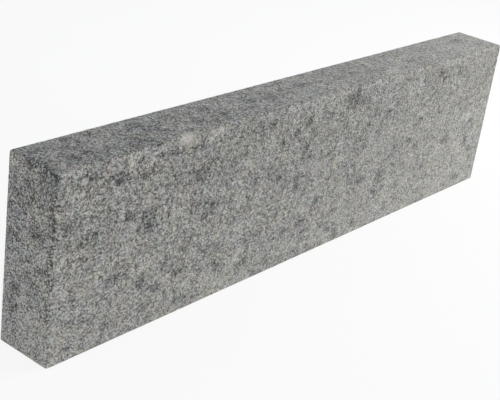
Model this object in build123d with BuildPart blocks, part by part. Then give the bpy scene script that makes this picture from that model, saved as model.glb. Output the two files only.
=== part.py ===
"""Granite kerb stone: one sawn block with eased arrises, and wear and a few spalls along its exposed ones.

The frame has +X along the stone, +Y from its front face to its back face and +Z up.
The origin is at the middle of the bed, the face that the stone stands on.
"""

import os
from math import sqrt

from build123d import *

# Driving dimensions, in millimetres.
LENGTH = 1000.0
THICKNESS = 84.0
HEIGHT = 250.0

# The three arrises at the near top corner are worn, and the others are only eased after sawing.
WORN_ARRIS_RADIUS = 3.5
SAWN_ARRIS_RADIUS = 1.5

# A spall is a shallow scoop where an arris has broken away. These are the sizes of a full one,
# along its arris and below the worn arris.
SPALL_LENGTH = 62.0
SPALL_DEPTH = 4.2

# The spalls of each arris, as (place along the arris, length, depth), in shares of the arris's
# own length and of a full spall.
FRONT_TOP_SPALL_SHARES = [
    (0.045, 0.60, 0.55),
    (0.140, 0.85, 0.90),
    (0.206, 0.75, 0.80),
    (0.283, 0.60, 0.65),
    (0.422, 0.85, 0.80),
    (0.537, 0.65, 0.65),
    (0.646, 1.00, 1.00),
    (0.803, 0.80, 0.55),
]
FRONT_LEFT_SPALL_SHARES = [
    (0.340, 0.55, 0.45),
    (0.640, 0.80, 0.80),
    (0.860, 0.60, 0.60),
]
LEFT_TOP_SPALL_SHARES = [
    (0.250, 0.45, 0.55),
    (0.580, 0.40, 0.50),
]

# The near top corner has broken away too: the width and depth of its scoop, in shares of a full spall.
CORNER_WIDTH_SHARE = 0.45
CORNER_DEPTH_SHARE = 0.75

# How far a sharp edge, and a sharp corner of three edges, stand outside their rounding, in radii.
EDGE_EXCESS_SHARE = sqrt(2) - 1
CORNER_EXCESS_SHARE = sqrt(3) - 1

# The outermost planes of the stone.
LEFT = -LENGTH / 2
RIGHT = LENGTH / 2
FRONT = -THICKNESS / 2
BACK = THICKNESS / 2


def scoop(worn_point, outward, width, depth):
    """The centre and radius of the sphere that bites a given width and depth at a point of the stone."""
    radius = (width**2 / 4 + depth**2) / (2 * depth)
    return worn_point + outward * (radius - depth), radius


def arris_scoops(start, end, outward, spall_shares):
    """The spheres that break one arris, which runs between two sharp corners and faces outward."""
    outward = outward.normalized()
    worn_start = start - outward * EDGE_EXCESS_SHARE * WORN_ARRIS_RADIUS
    scoops = []
    for place_share, length_share, depth_share in spall_shares:
        worn_point = worn_start + (end - start) * place_share
        scoops.append(scoop(worn_point, outward, length_share * SPALL_LENGTH, depth_share * SPALL_DEPTH))
    return scoops


def corner_scoop(corner, outward):
    """The sphere that knocks off one corner of the stone."""
    outward = outward.normalized()
    worn_point = corner - outward * CORNER_EXCESS_SHARE * WORN_ARRIS_RADIUS
    return scoop(worn_point, outward, CORNER_WIDTH_SHARE * SPALL_LENGTH, CORNER_DEPTH_SHARE * SPALL_DEPTH)


near_bed_corner = Vector(LEFT, FRONT, 0)
near_top_corner = Vector(LEFT, FRONT, HEIGHT)
far_top_corner = Vector(RIGHT, FRONT, HEIGHT)
rear_top_corner = Vector(LEFT, BACK, HEIGHT)

scoops = [
    *arris_scoops(near_top_corner, far_top_corner, Vector(0, -1, 1), FRONT_TOP_SPALL_SHARES),
    *arris_scoops(near_bed_corner, near_top_corner, Vector(-1, -1, 0), FRONT_LEFT_SPALL_SHARES),
    *arris_scoops(near_top_corner, rear_top_corner, Vector(-1, 0, 1), LEFT_TOP_SPALL_SHARES),
    corner_scoop(near_top_corner, Vector(-1, -1, 1)),
]

# The kerb stone: a block that stands on its bed, worn at the near top corner's three arrises, eased at the
# others, which bound the three faces away from that corner, and then broken by the spalls.
with BuildPart() as kerb_stone:
    with BuildSketch(Plane.XY):
        Rectangle(LENGTH, THICKNESS)
    extrude(amount=HEIGHT)
    fillet(kerb_stone.edges().sort_by_distance(near_top_corner)[:3], radius=WORN_ARRIS_RADIUS)
    far_faces = kerb_stone.faces().sort_by_distance(near_top_corner)[-3:]
    fillet(far_faces.edges(), radius=SAWN_ARRIS_RADIUS)
    for centre, radius in scoops:
        with Locations(centre):
            Sphere(radius, mode=Mode.SUBTRACT)
kerb_stone.part.label = "kerb_stone"

os.makedirs("parts", exist_ok=True)
export_step(kerb_stone.part, "parts/kerb_stone.step")
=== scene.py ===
"""Granite kerb stone: the rough grey stone around its construction solid, and a plain stage for it.

The frame has +X along the stone, +Y from its front face to its back face and +Z up, in metres.
"""

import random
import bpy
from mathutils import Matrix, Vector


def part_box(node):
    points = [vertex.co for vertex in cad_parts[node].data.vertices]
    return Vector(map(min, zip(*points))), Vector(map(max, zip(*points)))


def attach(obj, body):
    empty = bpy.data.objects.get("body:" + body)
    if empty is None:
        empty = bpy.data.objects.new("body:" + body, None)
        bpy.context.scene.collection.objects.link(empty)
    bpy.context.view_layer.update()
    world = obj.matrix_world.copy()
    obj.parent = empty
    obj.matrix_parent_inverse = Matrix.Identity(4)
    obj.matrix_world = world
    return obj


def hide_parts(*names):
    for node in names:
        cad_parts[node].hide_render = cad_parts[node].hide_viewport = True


bl_info = {
    "name": "Granite kerb stone",
    "version": (1, 0, 0),
    "blender": (4, 5, 0),
    "location": "View3D > Sidebar > Kerb stone",
    "description": "Builds a rough granite kerb stone around its construction solid, with its stage",
    "category": "Add Mesh",
}

from functools import reduce
from math import cos, radians, sin

import bmesh
import bpy
import numpy as np
from bpy.props import FloatProperty, FloatVectorProperty, IntProperty, PointerProperty
from mathutils import Matrix, Vector, noise
from mathutils.bvhtree import BVHTree

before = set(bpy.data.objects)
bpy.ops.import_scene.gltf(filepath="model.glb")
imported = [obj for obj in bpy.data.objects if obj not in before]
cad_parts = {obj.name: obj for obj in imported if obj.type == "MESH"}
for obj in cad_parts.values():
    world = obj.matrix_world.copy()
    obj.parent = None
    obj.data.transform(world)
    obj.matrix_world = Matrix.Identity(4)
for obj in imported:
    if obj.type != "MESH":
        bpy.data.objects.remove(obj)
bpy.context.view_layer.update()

STONE_NODE = "kerb_stone"
LOW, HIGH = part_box(STONE_NODE)
SIZE = HIGH - LOW
LENGTH, THICKNESS, HEIGHT = SIZE

X, Y, Z = range(3)
MILLIMETRE = 0.001

# The middle of any range from 0 to 1.
MIDDLE = 0.5

# How far a noise is shifted along X, Y and Z, in shares of its offset.
NOISE_SHIFT_SHARES = (1.0, 0.37, -0.71)

# A place in the middle of an arris counts as the front or back first, and as the top or bed next.
FIRST_SIDE_SHARES = np.array((0.0, 0.002, 0.001))

# Each side of the stone: the axis that it is square to, its end of that axis, and the axes across and up it.
SIDES = {
    "front": (Y, 0, X, Z),
    "back": (Y, 1, X, Z),
    "top": (Z, 1, X, Y),
    "bed": (Z, 0, X, Y),
    "left": (X, 0, Y, Z),
    "right": (X, 1, Y, Z),
}

# Painted light and shade: a slow drift of tone from edge to edge of each side, across and up it, in shares of
# the whole range of tone.
# The sides are painted lighter low down, and the top lighter towards its far end.
PAINTED_LIGHT_DRIFT_SHARES = {
    "front": (0.0, -0.13),
    "back": (0.0, -0.13),
    "top": (0.085, 0.0),
    "bed": (0.0, 0.0),
    "left": (0.0, -0.21),
    "right": (0.0, -0.21),
}

# How coarse the grain of each side is, and how much of the hammered lumps it shows at the most.
COARSE_SHARES = {"front": 1.0, "back": 1.0, "top": 0.5, "bed": 0.0, "left": 0.0, "right": 0.0}
HAMMERED_SHARES = {"front": 1.0, "back": 1.0, "top": 0.15, "bed": 0.0, "left": 0.0, "right": 0.0}

# Dark mica clusters of each side that shows, and a few rows of painted shade marked below, as (across, up,
# width, height, strength). The first two are shares of the side's width and height, the next two of a full
# cluster's width, the last of full darkness.
FRONT_DARK_SHARES = [
    (0.095, 0.894, 0.80, 0.56, 0.75), (0.003, 0.975, 0.16, 0.20, 1.00), (0.119, 0.668, 0.65, 0.42, 1.00),
    (0.152, 0.608, 0.95, 1.05, 1.00), (0.243, 0.768, 0.75, 0.60, 0.85), (0.266, 0.572, 0.42, 0.34, 1.05),
    (0.268, 0.566, 0.18, 0.16, 2.40), (0.234, 0.798, 0.15, 0.15, 2.40), (0.259, 0.532, 0.65, 0.50, 0.60),
    (0.238, 0.585, 0.70, 0.70, 0.45), (0.100, 0.352, 0.65, 0.42, 0.80), (0.149, 0.268, 0.80, 0.40, 0.65),
    (0.175, 0.204, 0.45, 0.32, 0.95), (0.216, 0.245, 0.55, 0.42, 1.00), (0.188, 0.326, 0.62, 0.46, 0.95),
    (0.160, 0.120, 0.65, 0.40, 0.75), (0.222, 0.066, 0.66, 0.40, 1.10), (0.292, 0.180, 0.65, 0.60, 0.60),
    (0.292, 0.296, 0.40, 0.32, 0.75), (0.030, 0.074, 0.26, 0.20, 2.40), (0.091, 0.104, 0.45, 0.26, 0.95),
    (0.056, 0.628, 0.95, 0.50, 0.55), (0.023, 0.712, 0.80, 0.24, 0.40), (0.264, 0.832, 0.70, 0.22, 0.40),
    (0.180, 0.943, 0.14, 0.16, 1.20), (0.193, 0.936, 0.14, 0.16, 1.10), (0.192, 0.811, 0.15, 0.15, 2.00),
    (0.136, 0.934, 0.14, 0.14, 1.90), (0.220, 0.928, 0.14, 0.16, 1.10), (0.222, 0.898, 0.14, 0.16, 1.00),
    (0.137, 0.020, 0.30, 0.24, 0.80), (0.034, 0.328, 0.35, 0.25, 0.60), (0.132, 0.715, 0.28, 0.24, 0.60),
    (0.139, 0.862, 0.45, 0.32, 0.30), (0.185, 0.635, 0.25, 0.40, 0.50), (0.171, 0.783, 0.25, 0.22, 0.60),
    (0.283, 0.765, 1.10, 0.50, 0.40), (0.314, 0.440, 0.45, 0.70, 0.50), (0.262, 0.318, 0.80, 0.25, 0.45),
    (0.257, 0.045, 0.45, 0.30, 0.50), (0.194, 0.150, 0.30, 0.35, 0.50), (0.114, 0.275, 0.30, 0.25, 0.50),
    (0.434, 0.836, 0.45, 0.30, 1.00), (0.462, 0.878, 0.50, 0.34, 1.05), (0.473, 0.812, 0.45, 0.35, 0.65),
    (0.513, 0.860, 0.40, 0.26, 0.80), (0.567, 0.928, 1.20, 0.82, 0.68), (0.589, 0.890, 0.40, 0.30, 0.55),
    (0.380, 0.935, 0.35, 0.45, 0.80), (0.405, 0.800, 0.30, 0.40, 0.50), (0.464, 0.716, 0.62, 0.36, 1.10),
    (0.470, 0.652, 0.75, 0.25, 0.55), (0.446, 0.620, 0.35, 0.35, 0.50), (0.354, 0.612, 0.26, 0.45, 0.70),
    (0.410, 0.588, 0.45, 0.40, 0.60), (0.426, 0.517, 0.35, 0.25, 0.60), (0.450, 0.516, 0.90, 0.78, 0.55),
    (0.449, 0.472, 0.35, 0.30, 0.75), (0.472, 0.425, 0.40, 0.30, 0.60), (0.488, 0.484, 0.52, 0.26, 0.65),
    (0.529, 0.456, 0.45, 0.18, 0.95), (0.532, 0.578, 0.40, 0.30, 0.60), (0.541, 0.500, 0.45, 0.20, 0.50),
    (0.505, 0.605, 0.50, 0.30, 0.50), (0.595, 0.640, 0.70, 0.70, 0.50), (0.647, 0.652, 0.45, 0.32, 0.85),
    (0.618, 0.728, 0.45, 0.32, 0.35), (0.592, 0.492, 0.45, 0.32, 0.65), (0.608, 0.580, 0.95, 0.50, 0.45),
    (0.635, 0.790, 0.55, 0.55, 0.50), (0.668, 0.770, 0.40, 0.28, 0.70), (0.593, 0.378, 0.35, 0.30, 0.55),
    (0.620, 0.356, 0.72, 0.40, 0.70), (0.510, 0.345, 0.50, 0.40, 0.60), (0.465, 0.285, 0.28, 0.22, 0.60),
    (0.476, 0.232, 0.78, 0.32, 0.85), (0.487, 0.152, 0.60, 0.40, 0.60), (0.561, 0.222, 0.50, 0.28, 0.65),
    (0.533, 0.175, 0.35, 0.55, 0.65), (0.438, 0.205, 0.40, 0.50, 0.50), (0.417, 0.195, 0.40, 0.25, 0.60),
    (0.413, 0.358, 0.40, 0.20, 0.60), (0.352, 0.245, 0.60, 0.40, 0.60), (0.352, 0.132, 0.95, 0.45, 0.75),
    (0.402, 0.060, 0.50, 0.40, 0.55), (0.550, 0.108, 0.60, 0.34, 1.00), (0.566, 0.115, 0.50, 0.30, 0.80),
    (0.575, 0.060, 0.40, 0.80, 1.05), (0.618, 0.076, 0.52, 0.45, 0.60), (0.508, 0.015, 0.45, 0.30, 0.70),
    (0.664, 0.492, 0.32, 0.26, 0.90), (0.676, 0.330, 0.75, 0.80, 0.85), (0.690, 0.335, 0.30, 0.35, 0.70),
    (0.665, 0.240, 0.45, 0.45, 0.90), (0.686, 0.240, 0.40, 0.45, 0.95), (0.816, 0.920, 0.52, 0.32, 1.05),
    (0.824, 0.870, 0.40, 0.40, 0.50), (0.872, 0.885, 0.45, 0.35, 0.50), (0.895, 0.685, 0.35, 0.40, 0.55),
    (0.728, 0.732, 0.40, 0.30, 0.55), (0.717, 0.945, 0.35, 0.25, 0.60), (0.772, 0.640, 0.40, 0.26, 0.80),
    (0.831, 0.637, 0.40, 0.20, 0.60), (0.710, 0.510, 0.55, 0.60, 0.50), (0.748, 0.512, 0.45, 0.26, 0.75),
    (0.701, 0.447, 0.45, 0.35, 0.50), (0.711, 0.382, 0.35, 0.22, 0.70), (0.772, 0.462, 0.50, 0.45, 0.50),
    (0.786, 0.364, 0.45, 0.45, 0.60), (0.870, 0.412, 0.65, 0.45, 0.90), (0.860, 0.292, 0.45, 0.35, 0.60),
    (0.810, 0.275, 0.50, 0.30, 0.50), (0.942, 0.348, 0.45, 0.52, 0.60), (0.967, 0.264, 0.65, 0.32, 0.80),
    (0.974, 0.200, 0.30, 0.35, 0.90), (0.945, 0.488, 0.30, 0.22, 0.70), (0.989, 0.622, 0.35, 0.35, 0.80),
    (0.989, 0.875, 0.35, 0.30, 0.60), (0.922, 0.737, 0.50, 0.25, 0.50), (0.911, 0.262, 0.40, 0.30, 0.50),
    (0.935, 0.072, 0.52, 0.26, 0.80), (0.984, 0.105, 0.50, 0.25, 0.60), (0.710, 0.078, 0.40, 0.25, 0.65),
    (0.806, 0.105, 0.40, 0.30, 0.50), (0.062, 0.725, 0.42, 0.36, 0.75), (0.002, 0.650, 0.36, 0.30, 0.95),
    (0.090, 0.526, 0.46, 0.34, 0.75), (0.050, 0.456, 0.90, 0.30, 0.40), (0.226, 0.905, 0.32, 0.40, 0.70),
    (0.264, 0.602, 0.36, 0.46, 0.75), (0.306, 0.541, 0.36, 0.40, 0.75), (0.300, 0.280, 0.50, 0.40, 0.80),
    (0.320, 0.340, 0.34, 0.46, 0.70), (0.155, 0.216, 0.55, 0.28, 0.65), (0.065, 0.166, 0.46, 0.36, 0.70),
    (0.036, 0.205, 0.42, 0.26, 0.65), (0.128, 0.096, 0.50, 0.26, 0.65), (0.218, 0.800, 0.46, 0.26, 0.60),
    (0.380, 0.620, 0.30, 0.55, 0.55), (0.435, 0.655, 0.70, 0.30, 0.55), (0.522, 0.616, 0.56, 0.40, 0.75),
    (0.404, 0.970, 0.32, 0.46, 0.65), (0.606, 0.706, 0.60, 0.30, 0.55), (0.636, 0.594, 0.40, 0.36, 0.75),
    (0.370, 0.281, 0.55, 0.30, 0.65), (0.430, 0.183, 0.75, 0.24, 0.75), (0.500, 0.266, 0.40, 0.36, 0.75),
    (0.527, 0.146, 0.62, 0.34, 0.80), (0.723, 0.724, 0.60, 0.32, 0.65), (0.858, 0.744, 0.80, 0.46, 0.55),
    (0.783, 0.546, 0.42, 0.30, 0.65), (0.912, 0.196, 0.50, 0.40, 0.75), (0.921, 0.870, 0.36, 0.55, 0.50),
]
TOP_DARK_SHARES = [
    # The first two rows are wide, faint patches of painted shade over the top's near part.
    (0.010, 0.60, 1.10, 1.80, 0.20), (0.140, 0.18, 3.00, 0.80, 0.35), (0.006, 0.33, 0.60, 0.45, 0.55),
    (0.029, 0.80, 0.36, 0.24, 1.40), (0.003, 0.14, 0.30, 0.50, 1.20), (0.038, 0.40, 0.35, 0.30, 0.50),
    (0.043, 0.27, 0.50, 0.35, 0.80), (0.070, 0.36, 0.40, 0.30, 0.80), (0.076, 0.52, 0.30, 0.30, 0.70),
    (0.059, 0.65, 0.45, 0.30, 0.80), (0.080, 0.71, 0.30, 0.25, 0.80), (0.105, 0.80, 0.45, 0.35, 0.60),
    (0.098, 0.33, 0.35, 0.35, 0.80), (0.148, 0.28, 0.50, 0.60, 1.00), (0.160, 0.64, 0.35, 0.20, 1.00),
    (0.162, 0.06, 0.62, 0.36, 1.25), (0.178, 0.70, 0.80, 0.60, 1.00), (0.185, 0.50, 0.80, 0.55, 1.00),
    (0.197, 0.38, 0.55, 0.30, 0.90), (0.226, 0.18, 0.35, 0.25, 0.90), (0.258, 0.38, 0.80, 0.60, 0.85),
    (0.276, 0.76, 0.50, 0.50, 0.50), (0.301, 0.70, 0.45, 0.40, 0.80), (0.310, 0.36, 0.45, 0.35, 0.80),
    (0.280, 0.24, 0.40, 0.30, 0.70), (0.366, 0.33, 0.60, 0.30, 1.00), (0.380, 0.52, 0.45, 0.35, 0.80),
    (0.373, 0.70, 0.35, 0.35, 0.80), (0.412, 0.48, 0.90, 0.45, 0.55), (0.425, 0.58, 0.40, 0.25, 0.70),
    (0.450, 0.62, 0.40, 0.25, 0.70), (0.495, 0.61, 1.00, 0.40, 0.70), (0.580, 0.48, 0.80, 0.30, 0.80),
    (0.620, 0.54, 0.45, 0.25, 0.60), (0.672, 0.35, 1.00, 0.35, 0.30), (0.733, 0.20, 0.50, 0.30, 0.70),
    (0.755, 0.36, 0.60, 0.30, 0.60), (0.970, 0.25, 0.60, 0.60, 0.50), (0.945, 0.68, 0.90, 0.35, 0.50),
    (0.002, 0.63, 0.24, 0.24, 1.70), (0.018, 0.74, 0.60, 0.30, 0.70), (0.076, 0.86, 0.50, 0.36, 0.55),
    (0.115, 0.34, 0.50, 0.26, 0.55), (0.226, 0.10, 0.40, 0.26, 0.55), (0.290, 0.75, 0.50, 0.50, 0.55),
    (0.336, 0.85, 0.32, 0.60, 0.65), (0.345, 0.35, 0.42, 0.36, 0.55), (0.400, 0.03, 0.90, 0.22, 0.90),
    (0.435, 0.45, 0.42, 0.50, 0.55), (0.470, 0.60, 0.32, 0.36, 0.65), (0.500, 0.30, 0.36, 0.36, 0.55),
    (0.600, 0.82, 0.60, 0.26, 0.50),
]
LEFT_DARK_SHARES = [
    # The first six rows, at the top corner, and rows ten to twelve, on the top arris, are painted shade in
    # chips, not mica.
    (0.151, 0.992, 0.15, 0.14, 2.60), (0.076, 0.987, 0.15, 0.14, 2.20), (0.040, 0.966, 0.15, 0.24, 2.60),
    (0.040, 0.936, 0.12, 0.16, 2.00), (0.047, 0.920, 0.12, 0.12, 1.60), (0.150, 0.960, 1.60, 1.30, 0.40),
    (0.095, 0.815, 0.17, 0.26, 0.90), (0.036, 0.615, 0.30, 0.45, 1.30), (0.035, 0.560, 0.20, 0.40, 0.80),
    (0.650, 0.996, 0.28, 0.24, 2.00), (0.590, 0.984, 0.28, 0.22, 1.90), (0.555, 0.964, 0.28, 0.20, 1.40),
    (0.150, 0.495, 0.45, 0.28, 1.10), (0.240, 0.480, 0.40, 0.30, 1.20), (0.445, 0.855, 0.16, 0.45, 1.00),
    (0.590, 0.888, 0.38, 0.26, 1.00), (0.800, 0.824, 0.30, 0.24, 0.50), (0.905, 0.888, 0.40, 0.40, 0.30),
    (0.915, 0.728, 0.30, 0.30, 0.50), (0.890, 0.608, 0.30, 0.35, 0.50), (0.585, 0.752, 0.34, 0.26, 0.85),
    (0.350, 0.655, 1.00, 0.50, 0.55), (0.700, 0.585, 0.90, 0.35, 0.50), (0.680, 0.150, 0.60, 0.60, 0.40),
    (0.530, 0.508, 0.45, 0.30, 0.60), (0.320, 0.392, 0.60, 0.40, 0.70), (0.480, 0.448, 0.30, 0.25, 0.70),
    (0.040, 0.330, 0.50, 0.55, 0.70), (0.380, 0.288, 0.28, 0.28, 0.90), (0.800, 0.230, 0.70, 0.70, 0.70),
    (0.745, 0.322, 0.60, 0.52, 0.70), (0.714, 0.092, 0.32, 0.28, 0.60), (0.214, 0.052, 0.40, 0.45, 0.45),
    (0.571, 0.024, 0.30, 0.30, 0.70), (0.045, 0.700, 0.28, 0.36, 0.80), (0.420, 0.930, 0.32, 0.26, 0.60),
    (0.280, 0.900, 0.46, 0.28, 0.60), (0.840, 0.870, 0.36, 0.26, 0.75), (0.680, 0.636, 0.42, 0.28, 0.60),
    (0.780, 0.556, 0.42, 0.22, 0.65), (0.330, 0.336, 0.34, 0.26, 0.70), (0.120, 0.300, 0.32, 0.26, 0.65),
    (0.250, 0.240, 0.32, 0.30, 0.50),
]

# Single rounded lumps of the front, as (across, up, width, height) in the same shares.
FRONT_LUMP_SHARES = [
    (0.038, 0.931, 0.63, 0.40), (0.064, 0.903, 0.44, 0.31), (0.068, 0.856, 0.48, 0.30),
    (0.038, 0.867, 0.34, 0.39), (0.008, 0.857, 0.34, 0.28), (0.024, 0.850, 0.25, 0.24),
    (0.114, 0.945, 0.40, 0.32), (0.197, 0.869, 0.25, 0.20), (0.046, 0.958, 0.26, 0.16),
    (0.030, 0.821, 0.24, 0.18), (0.051, 0.876, 0.25, 0.20), (0.069, 0.940, 0.30, 0.22),
    (0.088, 0.768, 0.50, 0.18),
]

# Pale feldspar patches of the same sides, in the same shares.
FRONT_PALE_SHARES = [
    (0.112, 0.948, 0.45, 0.45, 0.80), (0.030, 0.850, 1.10, 0.75, 0.60), (0.266, 0.985, 0.70, 0.55, 0.80),
    (0.035, 0.800, 1.30, 0.90, 0.45), (0.100, 0.276, 0.72, 0.52, 0.80), (0.180, 0.252, 0.60, 0.40, 0.80),
    (0.159, 0.364, 0.45, 0.40, 0.60), (0.077, 0.472, 0.60, 0.40, 0.60), (0.017, 0.388, 0.60, 0.50, 0.85),
    (0.014, 0.558, 0.62, 0.52, 1.00), (0.169, 0.520, 0.40, 0.30, 0.60), (0.195, 0.610, 0.25, 0.35, 0.50),
    (0.239, 0.480, 0.35, 0.25, 0.50), (0.315, 0.550, 0.30, 0.35, 0.60), (0.306, 0.914, 0.48, 0.40, 0.85),
    (0.328, 0.365, 0.40, 0.35, 0.60), (0.334, 0.750, 0.55, 0.40, 0.60), (0.340, 0.215, 0.50, 0.35, 1.30),
    (0.333, 0.185, 0.42, 0.45, 1.30), (0.369, 0.060, 0.35, 0.35, 0.60), (0.376, 0.355, 0.35, 0.30, 0.50),
    (0.365, 0.495, 0.30, 0.35, 0.50), (0.392, 0.312, 0.45, 0.40, 0.90), (0.403, 0.724, 0.40, 0.30, 0.60),
    (0.438, 0.750, 0.40, 0.40, 0.50), (0.475, 0.385, 0.35, 0.30, 0.50), (0.483, 0.916, 0.45, 0.30, 0.60),
    (0.487, 0.072, 0.40, 0.20, 0.60), (0.503, 0.384, 0.72, 0.26, 0.70), (0.548, 0.272, 0.78, 0.45, 0.60),
    (0.551, 0.665, 0.40, 0.30, 0.50), (0.557, 0.572, 0.95, 0.60, 0.60), (0.565, 0.360, 0.50, 0.35, 0.50),
    (0.590, 0.944, 0.60, 0.45, 0.60), (0.668, 0.462, 0.60, 0.20, 0.60), (0.690, 0.650, 0.90, 0.50, 0.40),
    (0.715, 0.245, 0.40, 0.35, 0.50), (0.751, 0.848, 0.45, 0.40, 0.60), (0.771, 0.682, 0.80, 0.25, 0.70),
    (0.834, 0.207, 0.35, 0.30, 0.70), (0.891, 0.588, 0.50, 0.50, 0.60), (0.928, 0.532, 1.10, 0.42, 1.60),
    (0.914, 0.320, 0.60, 0.60, 0.60), (0.887, 0.944, 0.65, 0.42, 0.80), (0.028, 0.925, 0.38, 0.32, 0.30),
    (0.138, 0.928, 0.66, 0.56, 1.10), (0.195, 0.875, 0.30, 0.38, 0.50), (0.226, 0.676, 0.42, 0.38, 0.95),
    (0.205, 0.735, 0.48, 0.26, 0.50), (0.174, 0.628, 0.46, 0.38, 0.75), (0.070, 0.414, 0.48, 0.24, 0.60),
    (0.201, 0.516, 0.45, 0.35, 0.65), (0.205, 0.446, 0.30, 0.36, 0.65), (0.222, 0.346, 0.40, 0.40, 0.65),
    (0.291, 0.456, 0.32, 0.30, 0.65), (0.264, 0.034, 0.42, 0.26, 0.60), (0.283, 0.745, 0.36, 0.32, 0.50),
    (0.364, 0.610, 0.40, 0.40, 0.75), (0.446, 0.840, 0.36, 0.50, 0.60), (0.412, 0.822, 0.42, 0.50, 0.50),
    (0.437, 0.342, 0.50, 0.42, 0.65), (0.508, 0.430, 0.32, 0.60, 0.65), (0.558, 0.412, 0.36, 0.36, 0.65),
    (0.625, 0.746, 0.40, 0.32, 0.65), (0.614, 0.404, 0.60, 0.36, 0.50), (0.652, 0.080, 0.60, 0.50, 0.55),
    (0.740, 0.164, 0.36, 0.46, 0.65), (0.825, 0.284, 0.36, 0.40, 0.65), (0.961, 0.385, 0.62, 0.60, 0.65),
    (0.897, 0.305, 0.40, 0.26, 0.55),
]
TOP_PALE_SHARES = [
    (0.495, 0.03, 0.70, 0.25, 1.00), (0.685, 0.20, 0.80, 0.40, 0.70), (0.703, 0.10, 0.60, 0.35, 0.60),
    (0.770, 0.62, 0.80, 0.45, 0.70), (0.100, 0.45, 0.60, 0.40, 0.50), (0.112, 0.70, 0.60, 0.50, 0.60),
    (0.214, 0.04, 1.10, 0.50, 1.00), (0.430, 0.84, 0.60, 0.50, 0.60), (0.522, 0.42, 0.50, 0.60, 0.50),
    (0.580, 0.78, 0.40, 0.50, 0.40), (0.875, 0.40, 1.20, 0.60, 0.50), (0.330, 0.66, 0.70, 0.40, 0.50),
    (0.010, 0.06, 0.46, 0.36, 0.80), (0.118, 0.60, 0.60, 0.46, 0.60), (0.205, 0.45, 0.30, 0.60, 0.65),
    (0.250, 0.80, 0.50, 0.40, 0.65), (0.270, 0.28, 0.36, 0.46, 0.80), (0.316, 0.75, 0.42, 0.60, 0.70),
    (0.355, 0.06, 0.42, 0.26, 0.55), (0.530, 0.75, 0.32, 0.70, 0.60),
]
LEFT_PALE_SHARES = [
    (0.160, 0.545, 0.50, 0.34, 0.60), (0.240, 0.440, 0.50, 0.30, 0.60), (0.380, 0.755, 1.30, 0.60, 0.60),
    (0.800, 0.040, 0.90, 0.40, 0.50), (0.560, 0.470, 0.55, 0.50, 0.80), (0.420, 0.950, 0.60, 0.50, 0.50),
    (0.850, 0.950, 0.60, 0.50, 0.50), (0.560, 0.610, 0.70, 0.40, 0.50), (0.560, 0.290, 0.50, 0.40, 0.60),
    (0.380, 0.200, 0.80, 0.50, 0.60), (0.040, 0.872, 0.36, 0.40, 0.90), (0.470, 0.730, 0.36, 0.26, 0.65),
    (0.620, 0.872, 0.36, 0.36, 0.55), (0.350, 0.492, 0.60, 0.30, 0.55), (0.270, 0.392, 0.36, 0.36, 0.55),
    (0.420, 0.150, 0.40, 0.40, 0.50), (0.950, 0.900, 0.32, 0.40, 0.80), (0.720, 0.026, 0.70, 0.30, 0.50),
    (0.930, 0.262, 0.40, 0.30, 0.55),
]

# Fresh breaks, smoother and paler than the worn stone, in the same shares.
FRONT_FRESH_SHARES = [
    (0.214, 0.994, 1.30, 0.68, 1.00), (0.113, 0.950, 0.62, 0.48, 0.55), (0.340, 0.215, 0.40, 0.30, 0.60),
    (0.331, 0.172, 0.30, 0.35, 0.50),
]
TOP_FRESH_SHARES = [
    (0.216, 0.03, 1.10, 0.62, 1.00),
]

# Cracks of the front, as the shares across and up of their two ends.
FRONT_CRACK_SHARES = [
    (0.243, 0.990, 0.234, 0.908), (0.232, 0.995, 0.232, 0.959),
]

# The two soft lights: where each stands, what it faces, and its width and colour.
LIT_END_SHARE = 0.9
LIT_HEIGHT_SHARE = 0.48
KEY_LIGHT = {
    "place": (1.5, -0.8, 1.0),
    "aim": (LIT_END_SHARE * HIGH.x, 0.0, LIT_HEIGHT_SHARE * HIGH.z),
    "width": 1.2,
    "colour": (1.0, 0.975, 0.922),
}
FILL_LIGHT = {
    "place": (-2.2, -1.2, 0.5),
    "aim": (LIT_END_SHARE * LOW.x, 0.0, LIT_HEIGHT_SHARE * HIGH.z),
    "width": 1.0,
    "colour": (1.0, 0.985, 0.945),
}

# Width of the camera's sensor, in millimetres as the lens is.
SENSOR_WIDTH = 36.0


def length_setting(name, description, default, least=0.0):
    """A length that a user can change."""
    return FloatProperty(name=name, description=description, default=default, min=least, unit="LENGTH")


def strength_setting(name, description, default):
    """The strength of a mark, as a share of the whole range of tone."""
    return FloatProperty(name=name, description=description, default=default, subtype="FACTOR")


def angle_setting(name, description, degrees):
    """An angle that a user can change."""
    return FloatProperty(name=name, description=description, default=radians(degrees), subtype="ANGLE")


def colour_setting(name, description, default, most=1.0):
    """A colour that a user can change."""
    return FloatVectorProperty(
        name=name, description=description, default=default, size=3, min=0.0, max=most, subtype="COLOR"
    )


class KerbStoneShape(bpy.types.PropertyGroup):
    """Sizes of the stone's texture and wear."""

    grid_spacing: length_setting("Grid spacing", "Width of the mesh's squares", 0.00272, least=0.002)
    eased_radius: length_setting(
        "Eased radius", "Radius of the edges that were only eased after sawing", 0.0015, least=0.0005
    )
    lump_size: length_setting(
        "Lump size", "Width of the lumps that the tooling left on the faces", 0.0135, least=0.006
    )
    lump_depth: length_setting("Lump depth", "Depth of the creases between the lumps", 0.0009)
    pit_size: length_setting("Pit size", "Spacing of the finer pitting", 0.0068, least=0.004)
    pit_depth: length_setting("Pit depth", "Depth of the finer pitting", 0.0006)
    sway_size: length_setting("Sway size", "Spacing of the slow hollows across a face", 0.09, least=0.02)
    sway_depth: length_setting("Sway depth", "Depth of the slow hollows across a face", 0.0006)
    nibble_size: length_setting(
        "Nibble size", "Spacing of the small bites along the worn edges", 0.016, least=0.006
    )
    nibble_depth: length_setting("Nibble depth", "Depth of the small bites along the worn edges", 0.0022)
    cluster_size: length_setting("Cluster size", "Width of a full mineral cluster", 0.032, least=0.01)
    seed: IntProperty(
        name="Seed", description="Starting number for the scattered mineral clusters", default=7
    )


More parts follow.
